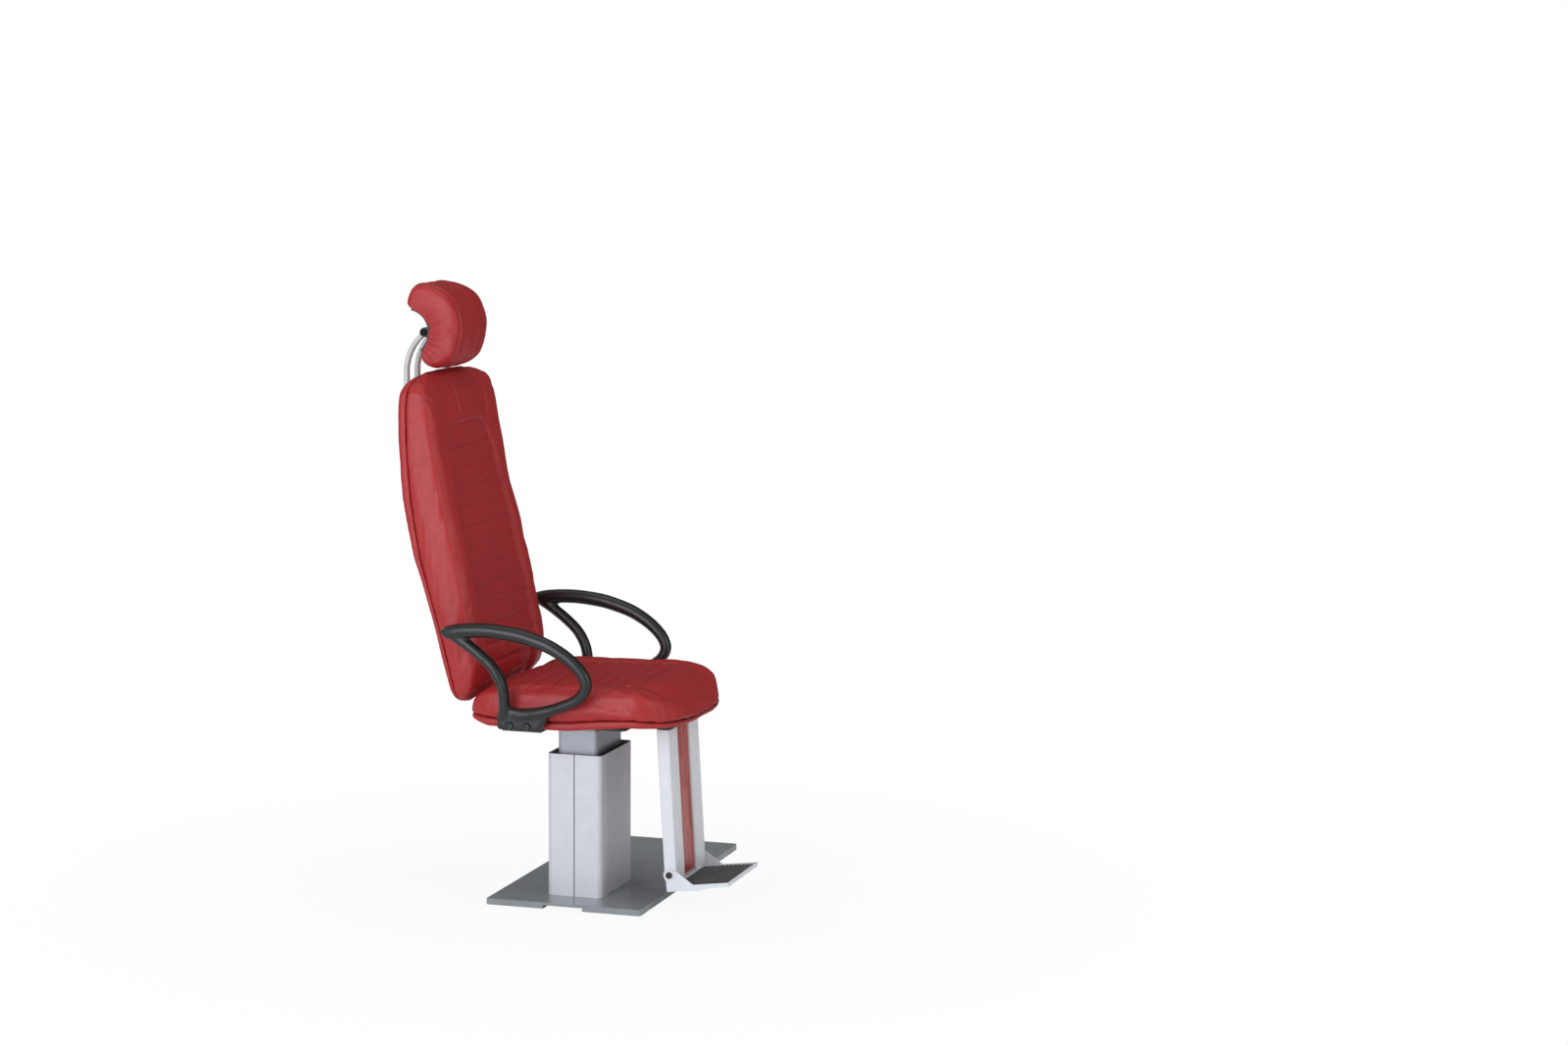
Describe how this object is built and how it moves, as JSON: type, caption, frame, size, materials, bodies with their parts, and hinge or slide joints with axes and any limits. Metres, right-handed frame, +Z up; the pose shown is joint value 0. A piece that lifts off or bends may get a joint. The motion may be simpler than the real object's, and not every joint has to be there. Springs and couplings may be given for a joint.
{
  "type": "ophthalmic examination chair",
  "caption": "Examination chair on a fixed lift column with offset floor plate, swivelling padded seat, tall channelled back, loop arms, adjustable crescent headrest and fold-up footplate.",
  "frame": {"origin": "on the floor at the middle of the lift column", "axes": "+Z up, the chair faces -Y, the sitter's left is +X"},
  "size_m": [0.833, 0.8183, 1.3951],
  "materials": {
    "floor_plate": "satin powder coat",
    "column_coat": "smooth light grey powder coat",
    "cap_black": "matte",
    "machined_steel": "machined",
    "lift_silver": "satin silver coat",
    "glide_plastic": "smooth",
    "drive_housing": "cast",
    "motor_can": "satin",
    "bright_screw": "zinc plated",
    "frame_steel": "black powder coat",
    "red_leather": "smooth upholstery leather",
    "plywood": "stained edge",
    "arm_black": "fine grained",
    "foot_white": "smooth light powder coat",
    "red_panel": "red laminate",
    "ribbed_rubber": "ribbed",
    "bright_tube": "satin anodised",
    "head_black": "matte"
  },
  "bodies": {
    "base": {"base_plate": "floor_plate", "base_bolts": "bright_screw", "column_cover_front": "column_coat", "column_cover_rear": "column_coat", "column_cap": "cap_black", "guide_tube": "machined_steel", "guide_foot": "machined_steel", "glide_pads_upper": "glide_plastic", "drive_gearbox": "drive_housing", "drive_motor": "motor_can", "drive_tube": "drive_housing"},
    "lift": {"lift_tube": "lift_silver", "glide_pads_lower": "glide_plastic", "push_rod": "machined_steel", "lift_top_plate": "frame_steel", "swivel_ring": "machined_steel", "swivel_disc": "glide_plastic", "swivel_pivot": "machined_steel", "swivel_nut": "bright_screw"},
    "seat": {"seat_plate": "frame_steel", "seat_rails": "frame_steel", "seat_shell": "red_leather", "seat_board": "plywood", "seat_cushion": "red_leather", "plate_screws": "bright_screw", "rail_screws": "bright_screw", "angle_screws": "bright_screw", "back_bar": "frame_steel", "back_bar_bolts": "bright_screw", "back_cover": "red_leather", "back_board": "plywood", "back_cushion": "red_leather", "arm_left": "arm_black", "arm_right": "arm_black", "arm_angle_left": "frame_steel", "arm_angle_right": "frame_steel", "arm_screws": "bright_screw", "footrest_hanger": "frame_steel", "upright_left": "foot_white", "upright_right": "foot_white", "footrest_panel": "red_panel", "upright_plugs": "cap_black", "footplate_bolts": "bright_screw", "headrest_guide": "head_black", "headrest_guide_screws": "bright_screw"},
    "footplate": {"footplate_tray": "foot_white", "footplate_mat": "ribbed_rubber", "footplate_bushes": "glide_plastic"},
    "headrest_post": {"headrest_tubes": "bright_tube", "headrest_stop_bar": "head_black", "headrest_barrel": "head_black", "headrest_pin": "head_black"},
    "headrest_pad": {"headrest_bracket": "head_black", "headrest_board": "head_black", "headrest_cushion": "red_leather"}
  },
  "joints": [
    {"name": "lift_travel", "type": "slide", "parent": "base", "child": "lift", "axis": [0, 0, 1], "range_m": [0, 0.2]},
    {"name": "seat_swivel", "type": "hinge", "parent": "lift", "child": "seat", "pos_m": [0, 0, 0.41], "axis": [0, 0, 1], "range_deg": [-90, 90]},
    {"name": "footplate_fold", "type": "hinge", "parent": "seat", "child": "footplate", "pos_m": [0, -0.23, 0.082], "axis": [-1, 0, 0], "range_deg": [0, 85]},
    {"name": "headrest_height", "type": "slide", "parent": "seat", "child": "headrest_post", "axis": [0, 0, 1], "range_m": [0, 0.08]},
    {"name": "headrest_tilt", "type": "hinge", "parent": "headrest_post", "child": "headrest_pad", "pos_m": [0, 0.386, 1.282], "axis": [1, 0, 0], "range_deg": [-30, 0]}
  ]
}
